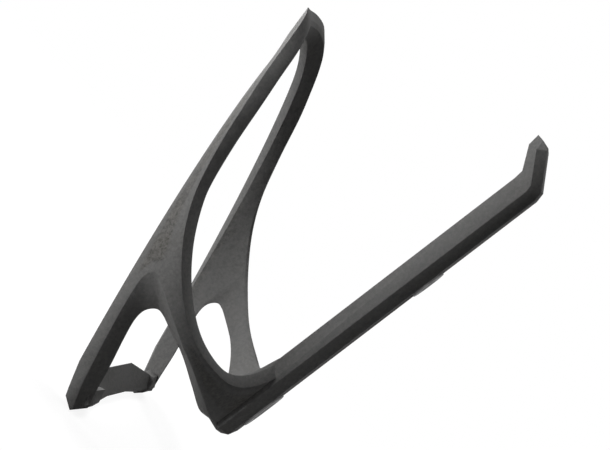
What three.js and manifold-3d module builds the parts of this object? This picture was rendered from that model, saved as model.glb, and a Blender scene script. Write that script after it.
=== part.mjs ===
// Road bicycle bottle cage: one moulded body and the two metal sleeves that its mounting bolts clamp.
// Millimetres, +Z up along the bottle, +Y towards the bicycle frame tube, bottle on the -Y side.
// The origin is on the mounting plane, midway between the two bolt holes.
import * as THREE from 'three';
import { mergeVertices } from 'three/addons/utils/BufferGeometryUtils.js';
import Module from 'manifold-3d';

const wasm = await Module();
wasm.setup();

// ---- driving dimensions ----
const bottleDiameter = 73;
const boltPitch = 64;
const boltHoleDiameter = 5.4;
const lowerSlotTravel = 3.5;
const pieceGap = 0.3;

// spine rail, its depths measured from the back face towards the bottle
const railDepth = 8.9;
const railFrontHalfWidth = 6.9;
const railRidgeHalfWidth = 8.6;
const railBackHalfWidth = 6.3;
const railRidgeDepth = 3.5;
const railBelowLowerBolt = 14;
const railAboveUpperBolt = 42.2;
const railEndChamfer = 1.9;
const railEndTaper = 1.2;

// neck hook at the top of the rail, which leans over the bottle's neck
const hookRise = 10.6;
const hookLean = 9.5;
const hookDepth = 4.8;
const hookCapHeight = 1;
const hookCapInset = 2.6;

// bolt recesses and sleeves
const recessDiameter = 10.6;
const recessFloor = 3.8;
const sleeveFlangeDiameter = 11.4;
const sleeveFlangeThickness = 0.8;
const sleeveBarrelWall = 0.9;
const flangeProud = 0.6;

// holding ring: an inclined loop round the bottle, whose side is a little below the rail's end
const ringTilt = 22.2;
const ringSideDrop = 2.4;
const ringOuterOffset = 5;
const ringFrontEdgeOffset = 3;
const ringBackEdgeOffset = 0.5;
const ringBackEdgeLift = 0.7;
const innerChamfer = 1.2;
const strutBevel = 1.8;
const strutUprightAngle = 30;
const archEdgeFlat = 0.5;
const archOuterLean = 1.8;
const thinWebAngles = { narrowsFrom: 40, narrowBy: 70, narrowUntil: 98, widensBy: 112 };
const tipAngles = { start: 145, frontStart: 150, ridgeEnd: 170, end: 180 };
const tipRidgeBulge = 2.1;
const tipFrontBulge = 2.5;
const tipFrontDrop = 1.2;
const tipInnerShare = 0.4;

// feet and the bridge between them
const footBelowRingSide = 21.9;
const footHeelAngle = 70;
const footSoleSlope = 0.33;
const footKneeAngle = 84;
const footKneeSlope = 1.25;
const legInset = 1.2;
const bridgeShelfHalfWidth = 13;
const bridgeEndInset = 7;
const padInnerInset = 9;
const padMiddleInset = 3;

// ---- sizes that follow ----
const bottleRadius = bottleDiameter / 2;
const bottleAxisY = -(railDepth + bottleRadius);
const upperBoltZ = boltPitch / 2;
const lowerBoltZ = -boltPitch / 2;
const railBottomZ = lowerBoltZ - railBelowLowerBolt;
const railTopZ = upperBoltZ + railAboveUpperBolt;
const ringSideZ = railBottomZ - ringSideDrop;
const ringOuterRadius = bottleRadius + ringOuterOffset;
const frontEdgeRadius = bottleRadius + ringFrontEdgeOffset;
const footZ = ringSideZ - footBelowRingSide;
const legX = bottleRadius - legInset;
const stationStep = 2;
const outerFaceSteps = 6;
const innerFaceSteps = 2;
const cutterReach = 20;
const cutterMargin = 5;

const radians = THREE.MathUtils.degToRad;
const { lerp, smoothstep, clamp } = THREE.MathUtils;

// The front edge lies in a tilted plane, and rises this much from the bottle's side to its front.
// The ring's other heights are drawn for one rise, and stretch with it.
const frontEdgeRise = frontEdgeRadius / Math.tan(radians(ringTilt));
const drawnRise = 96.8;
const ringStretch = frontEdgeRise / drawnRise;

// ---- solids ----
const weldDistance = 1e-4;

function bareOf(geometry) {
  const bare = geometry.clone();
  bare.deleteAttribute('normal');
  bare.deleteAttribute('uv');
  return bare;
}

function toManifold(geometry) {
  const merged = mergeVertices(bareOf(geometry), weldDistance);
  return new wasm.Manifold(new wasm.Mesh({
    numProp: 3,
    vertProperties: new Float32Array(merged.attributes.position.array),
    triVerts: new Uint32Array(merged.index.array),
  }));
}

function toGeometry(manifold) {
  const { vertProperties, triVerts } = manifold.getMesh();
  const geometry = new THREE.BufferGeometry();
  geometry.setAttribute('position', new THREE.BufferAttribute(vertProperties, 3));
  geometry.setIndex(new THREE.BufferAttribute(triVerts, 1));
  geometry.computeVertexNormals();
  return geometry;
}

// Two triangles for a four-sided face, split along its shorter diagonal.
function splitQuad([a, b, c, d], points) {
  const isSplitAcross = points[a].distanceTo(points[c]) <= points[b].distanceTo(points[d]);
  return isSplitAcross ? [a, b, c, a, c, d] : [a, b, d, b, c, d];
}

// A loft through stations, each a closed outline of the same number of corners placed in space.
// A ring-shaped loft joins its last station to its first; any other is closed at both ends by
// the triangles of its flat outline, given as 2-D points in the same order.
function loft(stations, flatOutline) {
  const corners = stations[0].length;
  const isRing = !flatOutline;
  const points = stations.flat();
  const positions = points.flatMap((point) => [point.x, point.y, point.z]);
  const triangles = [];
  const spans = isRing ? stations.length : stations.length - 1;
  for (let span = 0; span < spans; span += 1) {
    const near = span * corners;
    const far = ((span + 1) % stations.length) * corners;
    for (let corner = 0; corner < corners; corner += 1) {
      const next = (corner + 1) % corners;
      const sides = [near + corner, near + next, far + next, far + corner];
      triangles.push(...splitQuad(sides, points));
    }
  }
  if (!isRing) {
    const last = (stations.length - 1) * corners;
    const isClockwise = THREE.ShapeUtils.isClockWise(flatOutline);
    THREE.ShapeUtils.triangulateShape(flatOutline, []).forEach(([a, b, c]) => {
      const [second, third] = isClockwise ? [c, b] : [b, c];
      triangles.push(a, third, second);
      triangles.push(last + a, last + second, last + third);
    });
  }
  const geometry = new THREE.BufferGeometry();
  geometry.setAttribute('position', new THREE.Float32BufferAttribute(positions, 3));
  geometry.setIndex(triangles);
  return toManifold(outwards(geometry));
}

// Turns every face of a closed geometry over when its faces point inwards.
function outwards(geometry) {
  const { position } = geometry.attributes;
  const index = geometry.index.array;
  const corner = [0, 1, 2].map(() => new THREE.Vector3());
  let volume = 0;
  for (let face = 0; face < index.length; face += 3) {
    corner.forEach((point, k) => point.fromBufferAttribute(position, index[face + k]));
    volume += corner[0].dot(corner[1].clone().cross(corner[2]));
  }
  if (volume < 0) {
    geometry.setIndex(Array.from(index).reverse());
  }
  return geometry;
}

// A smooth height through design points [angle, height], for any angle between the first and last.
function curveThrough(points) {
  const slope = points.map((point, k) => {
    const before = points[Math.max(k - 1, 0)];
    const after = points[Math.min(k + 1, points.length - 1)];
    return (after[1] - before[1]) / (after[0] - before[0]);
  });
  return (angle) => {
    const passed = points.filter((point) => point[0] <= angle).length;
    const start = clamp(passed - 1, 0, points.length - 2);
    const [x0, y0] = points[start];
    const [x1, y1] = points[start + 1];
    const t = (angle - x0) / (x1 - x0);
    const run = x1 - x0;
    const h00 = 2 * t ** 3 - 3 * t ** 2 + 1;
    const h10 = t ** 3 - 2 * t ** 2 + t;
    const h01 = -2 * t ** 3 + 3 * t ** 2;
    const h11 = t ** 3 - t ** 2;
    return h00 * y0 + h10 * run * slope[start] + h01 * y1 + h11 * run * slope[start + 1];
  };
}

// ---- holding ring ----
// Angles go round the bottle from the rail (0) to the front of the bottle (180).
function onBottle(angle, radius, height) {
  const turn = radians(angle);
  return new THREE.Vector3(radius * Math.sin(turn), bottleAxisY + radius * Math.cos(turn), height);
}

function frontEdgeHeight(angle) {
  const plane = (at) => ringSideZ - frontEdgeRise * Math.cos(radians(at));
  const knee = Math.max(angle, footKneeAngle);
  const sole = footZ + (angle - footHeelAngle) * footSoleSlope;
  const drop = tipFrontDrop * smoothstep(angle, tipAngles.start, tipAngles.end);
  return Math.max(plane(knee) - (knee - angle) * footKneeSlope, sole) - drop;
}

// A height on the ring, from points [angle, height above the ring's side].
function ringCurve(points) {
  const height = curveThrough(points);
  return (angle) => ringSideZ + ringStretch * height(angle);
}

const backEdgeHeight = ringCurve([
  [0, 34.4], [8, 31.4], [14, 25.9], [22, 21.4], [32, 19], [45, 19.4], [60, 22], [75, 27.2], [88, 33.6],
  [100, 41.4], [110, 50.4], [120, 62.9], [131, 77.4], [141, 87.5], [150, 94.8], [155, 97.8], [160, 100],
  [168, 101.4], [180, 101.6],
]);

// height of the back edge above the outer ridge, negative where the tip leans in to the bottle
const backFacetRise = curveThrough([
  [0, 1.2], [40, 1.2], [70, 2.5], [100, 2.5], [130, 2.4], [143, 1], [150, -0.4], [155, -2], [160, -2.3],
  [168, -1.7], [180, -1.2],
]);

// height of the facet along the front edge
const frontFacetRise = curveThrough([
  [0, 3.3], [100, 3.3], [130, 2.5], [150, 1.2], [165, 0.4], [180, 0.4],
]);

// lower edge of the struts, from the rail out to the arch between strut and leg
const strutEdgeHeight = ringCurve([
  [0, 1], [20, 3.2], [40, 8.6], [54, 12.7], [64, 15], [72, 16.4],
]);

// The strut runs from the rail to this angle; the leg and the web begin beyond it.
const archEndAngle = 62;
const archGround = footZ - cutterReach;

// Points along a straight face of the section, from one corner up to but not including the next.
function facePoints(from, to, steps) {
  return Array.from({ length: steps }, (_, k) => from.clone().lerp(to, k / steps));
}

// Points of the ring's section, in turn: its outer face from the front edge up, the outer ridge,
// the back edge, and the face by the bottle down to the inner front corner.
function ringStation(turn) {
  const angle = Math.abs(turn);
  const bulge = tipRidgeBulge * smoothstep(angle, tipAngles.start, tipAngles.ridgeEnd);
  const frontBulge = tipFrontBulge * smoothstep(angle, tipAngles.frontStart, tipAngles.end);
  const isStrut = angle <= archEndAngle;
  const { narrowsFrom, narrowBy, narrowUntil, widensBy } = thinWebAngles;
  const wide = smoothstep(angle, narrowUntil, widensBy) + 1 - smoothstep(angle, narrowsFrom, narrowBy);
  const backHeight = backEdgeHeight(angle);
  const frontHeight = isStrut ? strutEdgeHeight(angle) + strutBevel : frontEdgeHeight(angle);
  const innerFront = isStrut ? strutEdgeHeight(angle) : frontHeight + frontFacetRise(angle);
  const place = (radius, height) => {
    const point = onBottle(angle, radius, height);
    point.x *= Math.sign(turn) || 1;
    return point;
  };
  const ridgeHeight = backHeight - backFacetRise(angle);
  const webFront = frontEdgeHeight(angle);
  const share = (frontHeight - webFront) / (ridgeHeight - webFront);
  const strutShare = isStrut ? lerp(1, share, smoothstep(angle, strutUprightAngle, archEndAngle)) : 0;
  const front = place(lerp(frontEdgeRadius, ringOuterRadius, strutShare) + frontBulge, frontHeight);
  const ridge = place(ringOuterRadius + bulge, ridgeHeight);
  const innerBack = place(bottleRadius + bulge, backHeight - innerChamfer);
  const inner = place(bottleRadius + bulge * tipInnerShare, innerFront);
  return [
    ...facePoints(front, ridge, outerFaceSteps),
    ridge,
    place(bottleRadius + ringBackEdgeOffset + ringBackEdgeLift * wide + bulge, backHeight),
    ...facePoints(innerBack, inner, innerFaceSteps),
    inner,
  ];
}

function ringTurns() {
  const turns = [];
  for (let angle = 0; angle <= 180; angle += stationStep) {
    turns.push(angle);
  }
  turns.push(archEndAngle, archEndAngle + 2);
  turns.sort((a, b) => a - b);
  const back = turns.slice(1, -1).reverse().map((angle) => -angle);
  return [...turns, ...back];
}

// The arch between the strut and the leg, from the strut over its top and down the leg:
// [angle, height above the ring's side] of its edge by the bottle, then of its outer edge.
const archStart = archEndAngle - 1.5;
const archPoints = [
  [71, 16.1, 79.6, 21.5],
  [77, 17.1, 89, 23.9],
  [81, 16.8, 95.2, 24.8],
  [83.8, 13.8, 98, 21.4],
  [83.4, 9.8, 94.3, 12.8],
  [79.8, 3.9, 90, 4.9],
  [73.4, -5.1, 84.8, -4.6],
  [68, -13.6, 79, -14.2],
  [61.5, -22.6, 72.5, -23.1],
];
const arch = [
  [archStart, strutEdgeHeight(archStart), archStart, strutEdgeHeight(archStart) + strutBevel],
  ...archPoints.map(([innerAngle, innerRise, outerAngle, outerRise]) => [
    innerAngle, ringSideZ + ringStretch * innerRise, outerAngle, ringSideZ + ringStretch * outerRise,
  ]),
];

function archCutter(side) {
  const smooth = (first) => new THREE.SplineCurve(
    arch.map((point) => new THREE.Vector2(point[first], point[first + 1])),
  ).getPoints(54);
  const inner = smooth(0);
  const outer = smooth(2);
  const outline = (share) => {
    const edge = inner.map((point, k) => point.clone().lerp(outer[k], share));
    edge.push(new THREE.Vector2(edge.at(-1).x, archGround), new THREE.Vector2(edge[0].x, archGround));
    return edge;
  };
  const layers = [
    [bottleRadius - cutterMargin, 0], [bottleRadius + archEdgeFlat, 0],
    [lerp(bottleRadius, ringOuterRadius, 0.5), 0.5], [ringOuterRadius, 1],
    [ringOuterRadius + cutterMargin, archOuterLean],
  ];
  const stations = layers.map(([radius, share]) => outline(share).map(({ x, y }) => {
    const point = onBottle(x, radius, y);
    point.x *= side;
    return point;
  }));
  return loft(stations, outline(0.5));
}

function holdingRing() {
  let ring = loft(ringTurns().map(ringStation));
  [1, -1].forEach((side) => {
    ring = ring.subtract(archCutter(side));
  });
  return ring;
}

// ---- feet and bridge ----
function flat(outline) {
  return outline.map((point) => new THREE.Vector2(...point));
}

// A loft across the object through outlines at given x, each of points [depth, height] measured
// from the heel of the feet.
const heelAngle = 63;
const heelY = bottleAxisY + bottleRadius * Math.cos(radians(heelAngle));

function crossLoft(stations) {
  return loft(stations.map(([x, outline]) => outline.map(
    ([depth, height]) => new THREE.Vector3(x, heelY - depth, footZ + height),
  )), flat(stations[0][1]));
}

function footBridge() {
  const shelf = [[9.6, 9.4], [4.2, 5.6], [2.6, 4.2], [3.7, 1.8], [10.5, 5.8]];
  const end = [[4.1, 8], [3.5, 7.2], [1.2, 4.6], [2.7, 1], [7.5, 2.5]];
  const endX = legX - bridgeEndInset;
  return crossLoft([
    [-legX, end], [-endX, end], [-bridgeShelfHalfWidth, shelf], [bridgeShelfHalfWidth, shelf],
    [endX, end], [legX, end],
  ]);
}

function footPad(side) {
  const inner = [[2.8, 9], [0.9, 5.2], [1.7, 0], [6.1, 0.8], [6.7, 7]];
  const middle = [[3.4, 8.4], [0.9, 5], [1.7, 0], [6.1, 0.8], [6.7, 7]];
  const outer = [[4.6, 8], [2.4, 4.6], [2.6, 0.4], [6.1, 0.8], [6.7, 7]];
  return crossLoft([
    [side * (legX - padInnerInset), inner], [side * (legX - padMiddleInset), middle], [side * legX, outer],
  ]);
}

// What is cut from under the heels, which slope up towards the rail.
function heelCut() {
  const wedge = [[-3.7, 10.3], [5.1, -3], [-2.3, -7], [-9.3, 0]];
  return crossLoft([[-ringOuterRadius, wedge], [ringOuterRadius, wedge]]);
}

// ---- spine rail and hook ----
// Section of the rail: back face, side ridges and front face, each as [depth, height, half width].
function railStation(back, ridge, front) {
  const corner = (side, [depth, height, halfWidth]) => new THREE.Vector3(side * halfWidth, -depth, height);
  return [
    corner(-1, back), corner(1, back), corner(1, ridge),
    corner(1, front), corner(-1, front), corner(-1, ridge),
  ];
}

const railOutline = [[-1, 0], [1, 0], [2, 1], [1, 2], [-1, 2], [-2, 1]];

function spineRail() {
  const back = railBackHalfWidth;
  const ridge = railRidgeHalfWidth;
  const front = railFrontHalfWidth;
  const bendZ = railTopZ;
  const tipZ = railTopZ + hookRise;
  const hookFront = hookLean + hookDepth;
  const stations = [
    [[railEndChamfer, railBottomZ, back - railEndTaper],
      [railRidgeDepth, railBottomZ, ridge - railEndTaper],
      [railDepth, railBottomZ, front - railEndTaper]],
    [[0, railBottomZ + railEndChamfer, back], [railRidgeDepth, railBottomZ + railEndTaper, ridge],
      [railDepth, railBottomZ + railEndTaper, front]],
    [[0, bendZ - 1.2, back], [railRidgeDepth, bendZ - 1.6, ridge], [railDepth, bendZ - 1.8, front]],
    [[0.8, bendZ + 1.8, back], [railRidgeDepth + 0.6, bendZ + 0.6, ridge],
      [railDepth + 0.3, bendZ + 1.2, front]],
    [[hookLean, tipZ, back], [hookLean + 2.1, tipZ - 2.2, ridge - 0.6], [hookFront, tipZ - 3, front - 0.6]],
    [[hookLean + 1, tipZ + hookCapHeight - 0.2, back - hookCapInset],
      [hookLean + 3.2, tipZ + hookCapHeight, ridge - hookCapInset - 1],
      [hookFront + 0.7, tipZ + hookCapHeight - 0.1, front - hookCapInset]],
  ];
  return loft(stations.map((station) => railStation(...station)), flat(railOutline));
}

// A stadium-shaped plug along Y: round when its travel is 0.
function plug(diameter, travel, fromY, toY, z) {
  const outline = new THREE.Shape();
  const half = travel / 2;
  outline.absarc(0, half, diameter / 2, 0, Math.PI, false);
  outline.absarc(0, -half, diameter / 2, Math.PI, 2 * Math.PI, false);
  outline.closePath();
  const depth = toY - fromY;
  const geometry = new THREE.ExtrudeGeometry(outline, { depth, bevelEnabled: false, curveSegments: 12 });
  geometry.rotateX(-Math.PI / 2);
  geometry.scale(1, 1, -1);
  geometry.translate(0, fromY, z);
  return toManifold(outwards(mergeVertices(bareOf(geometry))));
}

const boltSeats = [
  { name: 'upper_bolt_sleeve', z: upperBoltZ, travel: 0 },
  { name: 'lower_bolt_sleeve', z: lowerBoltZ, travel: lowerSlotTravel },
];

const barrelDiameter = boltHoleDiameter + 2 * sleeveBarrelWall;

function sleeve({ z, travel }) {
  const flange = plug(sleeveFlangeDiameter, travel, flangeProud - sleeveFlangeThickness, flangeProud, z);
  const barrel = plug(barrelDiameter, travel, -recessFloor, 0, z);
  const bore = plug(boltHoleDiameter, travel, -recessFloor - cutterMargin, cutterMargin, z);
  return flange.add(barrel).subtract(bore);
}

// The recess for a bolt head, the bore round the sleeve barrel and the pocket for its flange.
function boltSeatCut({ z, travel }) {
  const front = -(railDepth + cutterMargin);
  const head = plug(recessDiameter, travel, front, -recessFloor, z);
  const bore = plug(barrelDiameter + 2 * pieceGap, travel, front, cutterMargin, z);
  const pocketFloor = flangeProud - sleeveFlangeThickness - pieceGap;
  const pocket = plug(sleeveFlangeDiameter + 2 * pieceGap, travel, pocketFloor, cutterMargin, z);
  return head.add(bore).add(pocket);
}

function cageBody() {
  let body = spineRail().add(holdingRing()).add(footBridge()).add(footPad(1)).add(footPad(-1));
  body = body.subtract(heelCut());
  boltSeats.forEach((seat) => {
    body = body.subtract(boltSeatCut(seat));
  });
  return body;
}

// ---- the object ----
const nylon = { color: 0x343536, roughness: 0.62, metalness: 0 };
const aluminium = { color: 0x9a9c9e, roughness: 0.42, metalness: 1 };

function piece(name, solid, finish) {
  const mesh = new THREE.Mesh(toGeometry(solid), new THREE.MeshStandardMaterial(finish));
  mesh.name = name;
  return mesh;
}

const bottleCage = new THREE.Group();
bottleCage.add(piece('cage_body', cageBody(), nylon));
boltSeats.forEach((seat) => bottleCage.add(piece(seat.name, sleeve(seat), aluminium)));

export default bottleCage;
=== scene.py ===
# Looks of the bottle cage: moulded black nylon, dull metal sleeves, pale studio.
import math

import bpy
from mathutils import Matrix, Quaternion, Vector


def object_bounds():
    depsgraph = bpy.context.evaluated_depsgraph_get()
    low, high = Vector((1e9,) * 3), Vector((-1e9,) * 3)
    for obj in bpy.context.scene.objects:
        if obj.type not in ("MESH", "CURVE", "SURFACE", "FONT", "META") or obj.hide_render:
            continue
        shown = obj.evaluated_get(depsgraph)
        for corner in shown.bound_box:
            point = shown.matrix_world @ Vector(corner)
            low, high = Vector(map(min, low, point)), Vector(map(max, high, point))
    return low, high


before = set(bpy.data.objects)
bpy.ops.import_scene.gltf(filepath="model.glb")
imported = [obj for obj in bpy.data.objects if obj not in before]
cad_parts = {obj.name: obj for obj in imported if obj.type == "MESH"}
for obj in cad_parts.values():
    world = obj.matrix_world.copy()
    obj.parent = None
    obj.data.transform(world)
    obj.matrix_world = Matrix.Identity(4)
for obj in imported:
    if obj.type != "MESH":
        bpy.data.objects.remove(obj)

cad_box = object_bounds()
scene = bpy.context.scene

# ---- camera ----
# It stands on the +X side, turned a little towards +Y and lifted, and is rolled anticlockwise.
CAMERA_AT = Vector((0.49097, 0.02962, 0.08019))
CAMERA_TURN = math.radians(7.7633)
CAMERA_LIFT = math.radians(7.7424)
CAMERA_ROLL = math.radians(52.0592)
FOCAL_MM = 95.86
SENSOR_MM = 36.0

camera_data = bpy.data.cameras.new("camera")
camera_data.sensor_fit = "HORIZONTAL"
camera_data.sensor_width = SENSOR_MM
camera_data.lens = FOCAL_MM
camera_data.clip_start = 0.01
camera_data.clip_end = 20
camera = bpy.data.objects.new("camera", camera_data)
scene.collection.objects.link(camera)
level = math.cos(CAMERA_LIFT)
back = Vector((level * math.cos(CAMERA_TURN), level * math.sin(CAMERA_TURN), math.sin(CAMERA_LIFT)))
facing = back.to_track_quat("Z", "Y") @ Quaternion((0, 0, 1), CAMERA_ROLL)
camera.matrix_world = Matrix.Translation(CAMERA_AT) @ facing.to_matrix().to_4x4()
scene.camera = camera


# ---- materials ----
class Nodes:
    """A material's node tree, with short calls to add and join nodes."""

    def __init__(self, name):
        self.material = bpy.data.materials.new(name)
        self.material.use_nodes = True
        self.tree = self.material.node_tree
        self.shader = self.tree.nodes["Principled BSDF"]
        self.place = self.add("ShaderNodeTexCoord").outputs["Object"]

    def add(self, kind, **inputs):
        node = self.tree.nodes.new(kind)
        for key, value in inputs.items():
            self.join(value, node.inputs[key.replace("_", " ")])
        return node

    def join(self, value, socket):
        if isinstance(value, bpy.types.NodeSocket):
            self.tree.links.new(value, socket)
        else:
            socket.default_value = value

    def noise(self, scale, detail=3.0, roughness=0.55):
        return self.add(
            "ShaderNodeTexNoise", Vector=self.place, Scale=scale, Detail=detail, Roughness=roughness
        ).outputs["Fac"]

    def span(self, value, start, end, low, high):
        """value mapped from start..end to low..high, and held there outside it."""
        return self.add(
            "ShaderNodeMapRange", Value=value, From_Min=start, From_Max=end, To_Min=low, To_Max=high
        ).outputs["Result"]

    def ramp(self, value, low, high):
        """Noise, which mostly lies between 0.3 and 0.7, mapped to low..high."""
        return self.span(value, 0.3, 0.7, low, high)

    def fall(self, distance, reach):
        """1 at no distance, falling to 0 at reach."""
        return self.span(distance, 0.0, reach, 1.0, 0.0)

    def relief(self, height, strength, depth):
        """Turns the shader's normals by a bump of this depth."""
        bump = self.add("ShaderNodeBump", Strength=strength, Distance=depth, Height=height)
        self.join(bump.outputs["Normal"], self.shader.inputs["Normal"])

    def mix_colour(self, share, first, second):
        node = self.tree.nodes.new("ShaderNodeMix")
        node.data_type = "RGBA"
        self.join(share, node.inputs[0])
        self.join(first, node.inputs[6])
        self.join(second, node.inputs[7])
        return node.outputs[2]

    def maths(self, operation, first, second):
        node = self.tree.nodes.new("ShaderNodeMath")
        node.operation = operation
        self.join(first, node.inputs[0])
        self.join(second, node.inputs[1])
        return node.outputs[0]

    def apart(self, first, second):
        """How far two numbers are from each other."""
        return self.maths("ABSOLUTE", self.maths("SUBTRACT", first, second), 0.0)


def grey(level, warmth=0.0):
    """A grey of this level, a little warmer or, below 0, cooler."""
    return (level * (1 + warmth), level * (1 + 0.3 * warmth), level * (1 - warmth), 1.0)


# the rail's side ridge, and the stretch of it near the lower end where a pale highlight is painted into
# the colour
RIDGE_X = 0.0086
RIDGE_Y = -0.0035
RIDGE_HIGHLIGHT_MIDDLE = -0.040
RIDGE_HIGHLIGHT_WIDTH = 0.0009
RIDGE_HIGHLIGHT_LENGTH = 0.009


def painted_ridge_highlight(n, mottle):
    """How strongly a painted highlight lightens the rail's side ridges near their lower end, broken up
    by the mottle.
    """
    x, y, z = n.add("ShaderNodeSeparateXYZ", Vector=n.place).outputs
    across = n.apart(n.maths("ABSOLUTE", x, 0.0), RIDGE_X)
    away = n.maths("ADD", n.apart(y, RIDGE_Y), across)
    along = n.apart(z, RIDGE_HIGHLIGHT_MIDDLE)
    near = n.fall(away, RIDGE_HIGHLIGHT_WIDTH)
    lower = n.fall(along, RIDGE_HIGHLIGHT_LENGTH)
    return n.maths("MULTIPLY", n.maths("MULTIPLY", near, lower), n.ramp(mottle, 0.0, 0.9))


# the nylon's greys, and the scales of its patterns, in cycles to the metre
SKIN_DARK = grey(0.042, 0.06)
SKIN_MID = grey(0.062, -0.03)
SKIN_PALE = grey(0.105, 0.04)
FLECK = grey(0.16)
WORN = grey(0.11)
# the pale colour of the painted highlight on the rail's side ridges
RIDGE_HIGHLIGHT_COLOUR = grey(0.30)
MOTTLE_SCALE = 900.0
CLOUD_SCALE = 60.0
FIBRE_SCALE = (5200.0, 5200.0, 900.0)
FIBRE_TURN = (0.5, 0.2, 0.0)
FLECK_LIMIT = 0.69
FLECK_SHARE = 0.35
WORN_FROM = 0.515
WORN_FULL = 0.60
WORN_SHARE = 0.5
NYLON_GLOSS = 0.03


def nylon():
    """Glass-filled nylon: a dark grey skin with a fine mottle, fibre flecks, edges worn paler and a
    painted highlight along the lower stretch of the rail's side ridges.
    """
    n = Nodes("nylon")
    mottle = n.noise(MOTTLE_SCALE, detail=5.0, roughness=0.75)
    cloud = n.noise(CLOUD_SCALE, detail=2.0)
    skin = n.mix_colour(n.ramp(cloud, 0.0, 1.0), SKIN_DARK, SKIN_MID)
    skin = n.mix_colour(n.ramp(mottle, -0.2, 1.2), skin, SKIN_PALE)
    stretched = n.add(
        "ShaderNodeMapping", Vector=n.place, Scale=FIBRE_SCALE, Rotation=FIBRE_TURN
    ).outputs["Vector"]
    fibres = n.add(
        "ShaderNodeTexNoise", Vector=stretched, Scale=1.0, Detail=2.0, Roughness=0.5
    ).outputs["Fac"]
    fleck = n.maths("GREATER_THAN", fibres, FLECK_LIMIT)
    skin = n.mix_colour(n.maths("MULTIPLY", fleck, FLECK_SHARE), skin, FLECK)
    edge = n.add("ShaderNodeNewGeometry").outputs["Pointiness"]
    skin = n.mix_colour(n.span(edge, WORN_FROM, WORN_FULL, 0.0, WORN_SHARE), skin, WORN)
    # a painted highlight along the lower stretch of the rail's side ridges
    skin = n.mix_colour(painted_ridge_highlight(n, mottle), skin, RIDGE_HIGHLIGHT_COLOUR)
    n.join(skin, n.shader.inputs["Base Color"])
    n.join(n.ramp(mottle, 0.62, 0.82), n.shader.inputs["Roughness"])
    n.shader.inputs["Specular IOR Level"].default_value = NYLON_GLOSS
    n.relief(mottle, strength=0.06, depth=0.00006)
    return n.material


METAL_DARK = grey(0.11)
METAL_PALE = grey(0.17)
MARKS_SCALE = 3000.0
SPOTS_SCALE = 400.0


def aluminium():
    """Dull aluminium with faint turning marks and spots."""
    n = Nodes("aluminium")
    marks = n.noise(MARKS_SCALE)
    spots = n.noise(SPOTS_SCALE)
    n.join(n.mix_colour(n.ramp(spots, 0.0, 1.0), METAL_DARK, METAL_PALE), n.shader.inputs["Base Color"])
    n.join(n.ramp(marks, 0.55, 0.7), n.shader.inputs["Roughness"])
    n.shader.inputs["Metallic"].default_value = 1.0
    n.relief(marks, strength=0.15, depth=0.00005)
    return n.material


def dress(node, material):
    """Gives a CAD node's object one material."""
    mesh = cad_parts[node].data
    mesh.materials.clear()
    mesh.materials.append(material)


WELD_DISTANCE = 0.000002
SHARP_ANGLE = math.radians(20)
# bevel widths asked for; the overlap clamp holds them back to the mesh's shortest edges, so on
# cage_body the bevel comes to about 0.0002 mm and its edges stay crisp
BODY_EDGE = 0.00025
SLEEVE_EDGE = 0.0001
EDGE_SEGMENTS = 2


def soften(name, radius):
    """Shades smooth faces as one, and bevels sharp edges as far as the overlap clamp allows."""
    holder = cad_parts[name]
    weld = holder.modifiers.new("weld", "WELD")
    weld.merge_threshold = WELD_DISTANCE
    edge = holder.modifiers.new("edge", "BEVEL")
    edge.width = radius
    edge.segments = EDGE_SEGMENTS
    edge.limit_method = "ANGLE"
    edge.angle_limit = SHARP_ANGLE
    edge.harden_normals = True
    for polygon in holder.data.polygons:
        polygon.use_smooth = True


dress("cage_body", nylon())
soften("cage_body", BODY_EDGE)

metal = aluminium()
for sleeve in ("upper_bolt_sleeve", "lower_bolt_sleeve"):
    dress(sleeve, metal)
    soften(sleeve, SLEEVE_EDGE)

# ---- floor, backdrop and lights ----
# each lamp is a direction from the target and its watts
LAMP_TARGET = Vector((0.0, -0.04, 0.0))
LAMP_DISTANCE = 0.9
LAMP_SIZE = 0.4
LAMPS = (
    ((0.55, -0.83, 0.0), 16.0),
    ((-0.7, -0.7, 0.0), 10.0),
    ((-0.1, -0.2, 1.0), 5.5),
    ((-0.9, 0.3, 0.3), 0.3),
)
WORLD_LEVEL = 0.0
FLOOR_Z = cad_box[0][2]
# the floor shows its shadow up to one distance from the origin and is plain white past the other
FLOOR_NEAR = 0.12
FLOOR_FAR = 0.35
FLOOR_HALF_SIZE = 3.0
FLOOR_BOUNCE = (0.75, 0.75, 0.75, 1.0)
FLOOR_SHADED = (0.18, 0.18, 0.18, 1.0)
FLOOR_GLOW = 0.88
WHITE = (1.0, 1.0, 1.0, 1.0)


def white_to_camera(tree, lit, shown):
    """shown where the camera or a reflection looks, and lit for the light that bounces."""
    path = tree.nodes.new("ShaderNodeLightPath")
    seen = tree.nodes.new("ShaderNodeMath")
    seen.operation = "MAXIMUM"
    tree.links.new(path.outputs["Is Camera Ray"], seen.inputs[0])
    tree.links.new(path.outputs["Is Glossy Ray"], seen.inputs[1])
    also = tree.nodes.new("ShaderNodeMath")
    also.operation = "MAXIMUM"
    tree.links.new(seen.outputs[0], also.inputs[0])
    tree.links.new(path.outputs["Is Transmission Ray"], also.inputs[1])
    mix = tree.nodes.new("ShaderNodeMixShader")
    tree.links.new(also.outputs[0], mix.inputs[0])
    tree.links.new(lit, mix.inputs[1])
    tree.links.new(shown, mix.inputs[2])
    return mix.outputs[0]


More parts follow.
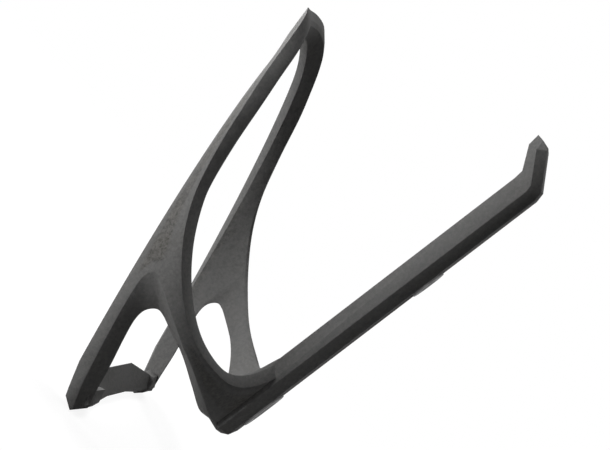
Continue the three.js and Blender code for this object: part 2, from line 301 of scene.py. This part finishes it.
def make_floor():
    """A pale floor that still takes the object's shadow."""
    half = FLOOR_HALF_SIZE
    mesh = bpy.data.meshes.new("floor")
    mesh.from_pydata(
        [(-half, -half, FLOOR_Z), (half, -half, FLOOR_Z), (half, half, FLOOR_Z), (-half, half, FLOOR_Z)],
        [], [(0, 1, 2, 3)],
    )
    floor = bpy.data.objects.new("floor", mesh)
    scene.collection.objects.link(floor)
    material = bpy.data.materials.new("pale_floor")
    material.use_nodes = True
    tree = material.node_tree
    tree.nodes.clear()
    diffuse = tree.nodes.new("ShaderNodeBsdfDiffuse")
    diffuse.inputs["Color"].default_value = FLOOR_BOUNCE
    shadowed = tree.nodes.new("ShaderNodeBsdfDiffuse")
    shadowed.inputs["Color"].default_value = FLOOR_SHADED
    glow = tree.nodes.new("ShaderNodeEmission")
    glow.inputs["Strength"].default_value = FLOOR_GLOW
    both = tree.nodes.new("ShaderNodeAddShader")
    tree.links.new(shadowed.outputs[0], both.inputs[0])
    tree.links.new(glow.outputs[0], both.inputs[1])
    away = tree.nodes.new("ShaderNodeVectorMath")
    away.operation = "LENGTH"
    tree.links.new(tree.nodes.new("ShaderNodeTexCoord").outputs["Object"], away.inputs[0])
    fade = tree.nodes.new("ShaderNodeMapRange")
    fade.interpolation_type = "SMOOTHSTEP"
    tree.links.new(away.outputs["Value"], fade.inputs["Value"])
    fade.inputs["From Min"].default_value = FLOOR_NEAR
    fade.inputs["From Max"].default_value = FLOOR_FAR
    white = tree.nodes.new("ShaderNodeEmission")
    blend = tree.nodes.new("ShaderNodeMixShader")
    tree.links.new(fade.outputs["Result"], blend.inputs[0])
    tree.links.new(both.outputs[0], blend.inputs[1])
    tree.links.new(white.outputs[0], blend.inputs[2])
    output = tree.nodes.new("ShaderNodeOutputMaterial")
    tree.links.new(white_to_camera(tree, diffuse.outputs[0], blend.outputs[0]), output.inputs["Surface"])
    mesh.materials.append(material)


def make_world(strength):
    """A world of this strength that the camera sees as white."""
    world = bpy.data.worlds.new("studio")
    world.use_nodes = True
    tree = world.node_tree
    tree.nodes.clear()
    soft = tree.nodes.new("ShaderNodeBackground")
    soft.inputs["Strength"].default_value = strength
    white = tree.nodes.new("ShaderNodeBackground")
    white.inputs["Color"].default_value = WHITE
    soft.inputs["Color"].default_value = WHITE
    output = tree.nodes.new("ShaderNodeOutputWorld")
    tree.links.new(white_to_camera(tree, soft.outputs[0], white.outputs[0]), output.inputs["Surface"])
    scene.world = world


def area_light(direction, watts):
    """A square soft box that faces the object from one direction."""
    data = bpy.data.lights.new("soft_box", "AREA")
    data.shape = "SQUARE"
    data.size = LAMP_SIZE
    data.energy = watts
    lamp = bpy.data.objects.new("soft_box", data)
    scene.collection.objects.link(lamp)
    towards = Vector(direction).normalized()
    lamp.location = LAMP_TARGET + LAMP_DISTANCE * towards
    lamp.rotation_euler = towards.to_track_quat("Z", "Y").to_euler()


make_floor()
make_world(WORLD_LEVEL)
for direction, watts in LAMPS:
    area_light(direction, watts)

scene.view_settings.view_transform = "Standard"
